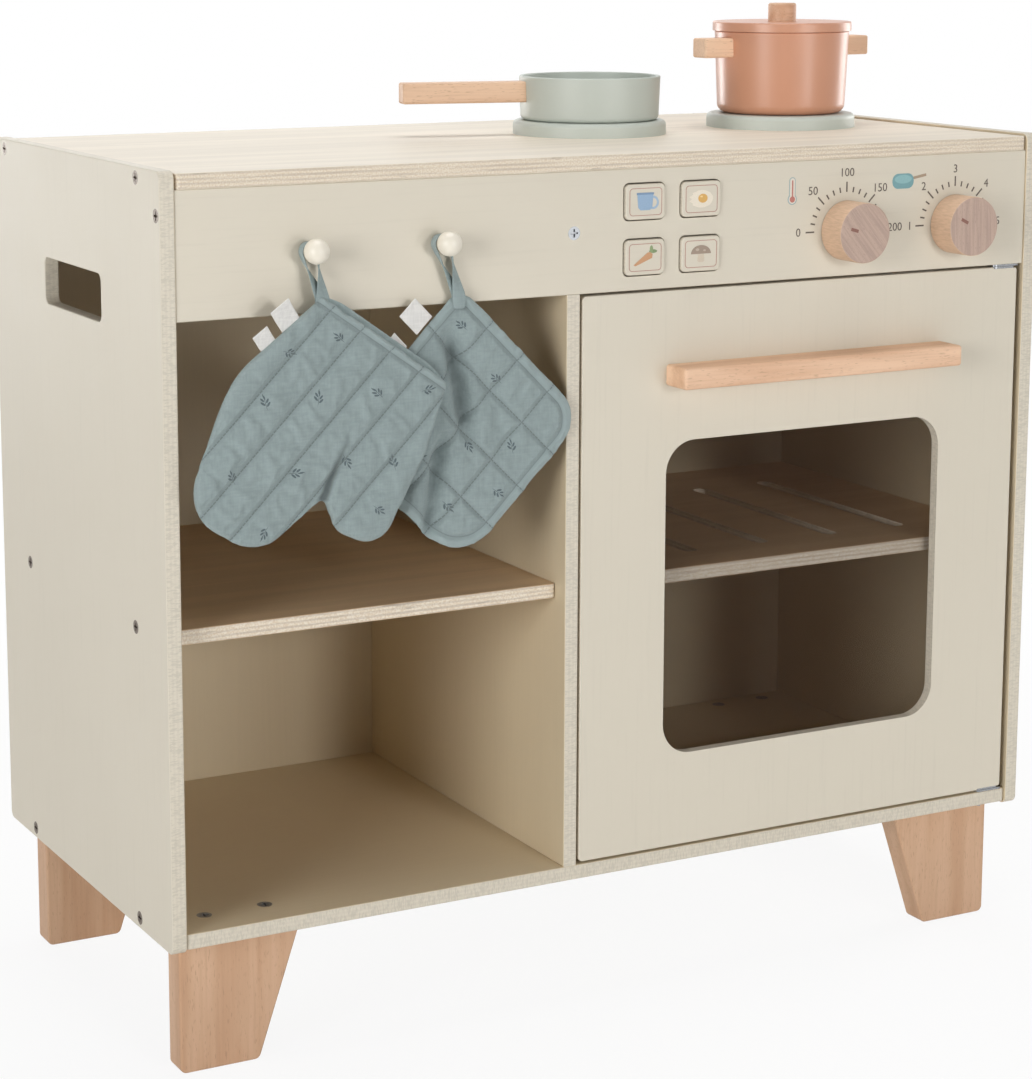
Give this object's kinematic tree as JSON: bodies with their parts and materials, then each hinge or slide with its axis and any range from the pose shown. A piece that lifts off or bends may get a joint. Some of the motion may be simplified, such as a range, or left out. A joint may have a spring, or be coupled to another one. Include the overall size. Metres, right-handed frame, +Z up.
{
  "type": "toy kitchen",
  "caption": "Wooden toy kitchen: open shelf bay, oven with hinged window door, turning dials, push buttons, burners, pan, lidded pot, and a mitt and pot holder on pegs.",
  "frame": {"origin": "on the floor, under the middle of the whole width and depth", "axes": "+X to the right as seen from the front, +Y to the back, +Z up"},
  "size_m": [0.6, 0.3034, 0.6034],
  "materials": {
    "cream_board": "satin cream paint on plywood",
    "birch_board": "clear satin varnish on birch plywood",
    "beech": "sanded and oiled solid beech",
    "sage_wood": "matte sage paint on turned wood",
    "clay_wood": "matte terracotta paint on turned wood",
    "peg_wood": "satin ivory paint on turned wood",
    "smoked_pane": "clear smoked acrylic",
    "steel": "zinc plated",
    "magnet": "bare ferrite",
    "housing": "moulded, matte",
    "foam": "soft foam sheet",
    "cloth": "quilted cotton with a small sprig print"
  },
  "bodies": {
    "cabinet": {"left_side_panel": "cream_board", "right_side_panel": "cream_board", "bottom_panel": "cream_board", "divider_panel": "cream_board", "control_fascia": "cream_board", "worktop": "birch_board", "back_panel": "birch_board", "open_shelf": "birch_board", "oven_shelf": "birch_board", "leg_front_left": "beech", "leg_front_right": "beech", "leg_back_left": "beech", "leg_back_right": "beech", "dowels": "beech", "door_stop": "beech", "burner_left": "sage_wood", "burner_right": "sage_wood", "peg_left": "peg_wood", "peg_right": "peg_wood", "panel_screws": "steel", "back_screws": "steel", "burner_screws": "steel", "leg_bolts": "steel", "hinge_fixed_screws": "steel", "hinge_fixed_upper": "steel", "hinge_fixed_lower": "steel", "door_magnet": "magnet", "button_housing": "housing", "button_foam": "foam"},
    "oven_door": {"door_panel": "cream_board", "door_window": "smoked_pane", "door_handle": "beech", "handle_screws": "steel", "window_screws": "steel", "hinge_door_upper": "steel", "hinge_door_lower": "steel", "hinge_door_screws": "steel", "door_strike": "steel"},
    "oven_dial": {"oven_dial_knob": "beech", "oven_dial_spindle": "beech"},
    "hob_dial": {"hob_dial_knob": "beech", "hob_dial_spindle": "beech"},
    "button_1": {"button_upper_left": "cream_board"},
    "button_2": {"button_upper_right": "cream_board"},
    "button_3": {"button_lower_left": "cream_board"},
    "button_4": {"button_lower_right": "cream_board"},
    "frying_pan": {"pan_body": "sage_wood", "pan_handle": "beech", "pan_screw": "steel"},
    "cooking_pot": {"pot_body": "clay_wood", "pot_handle_left": "beech", "pot_handle_right": "beech", "pot_screws": "steel"},
    "lid": {"pot_lid": "clay_wood", "lid_knob": "beech"},
    "mitt": {"oven_mitt": "cloth", "mitt_loop": "cloth"},
    "holder": {"pot_holder": "cloth", "holder_loop": "cloth"}
  },
  "joints": [
    {"name": "door_hinge", "type": "hinge", "parent": "cabinet", "child": "oven_door", "pos_m": [0.2825, -0.12575, 0.2655], "axis": [0, 0, 1], "range_deg": [0, 110]},
    {"name": "oven_dial_turn", "type": "hinge", "parent": "cabinet", "child": "oven_dial", "pos_m": [0.1524, -0.13125, 0.46875], "axis": [0, 1, 0], "continuous": true},
    {"name": "hob_dial_turn", "type": "hinge", "parent": "cabinet", "child": "hob_dial", "pos_m": [0.2354, -0.13125, 0.46875], "axis": [0, 1, 0], "continuous": true},
    {"name": "button_1_press", "type": "slide", "parent": "cabinet", "child": "button_1", "axis": [0, 1, 0], "range_m": [0, 0.0025], "stiffness_N_per_m": 300, "springref_m": -0.002, "deforming": ["button_foam"]},
    {"name": "button_2_press", "type": "slide", "parent": "cabinet", "child": "button_2", "axis": [0, 1, 0], "range_m": [0, 0.0025], "stiffness_N_per_m": 300, "springref_m": -0.002, "deforming": ["button_foam"]},
    {"name": "button_3_press", "type": "slide", "parent": "cabinet", "child": "button_3", "axis": [0, 1, 0], "range_m": [0, 0.0025], "stiffness_N_per_m": 300, "springref_m": -0.002, "deforming": ["button_foam"]},
    {"name": "button_4_press", "type": "slide", "parent": "cabinet", "child": "button_4", "axis": [0, 1, 0], "range_m": [0, 0.0025], "stiffness_N_per_m": 300, "springref_m": -0.002, "deforming": ["button_foam"]},
    {"name": "pan_lift", "type": "slide", "parent": "cabinet", "child": "frying_pan", "axis": [0, 0, 1], "range_m": [0, 0.15]},
    {"name": "pot_lift", "type": "slide", "parent": "cabinet", "child": "cooking_pot", "axis": [0, 0, 1], "range_m": [0, 0.15]},
    {"name": "lid_lift", "type": "slide", "parent": "cooking_pot", "child": "lid", "axis": [0, 0, 1], "range_m": [0, 0.15]},
    {"name": "mitt_swing", "type": "hinge", "parent": "cabinet", "child": "mitt", "pos_m": [-0.2125, -0.13125, 0.47675], "axis": [0, 1, 0], "range_deg": [-20, 20]},
    {"name": "holder_swing", "type": "hinge", "parent": "cabinet", "child": "holder", "pos_m": [-0.13, -0.13125, 0.47675], "axis": [0, 1, 0], "range_deg": [-15, 15], "stiffness_Nm_per_rad": 0.02, "springref_deg": -7.5}
  ]
}
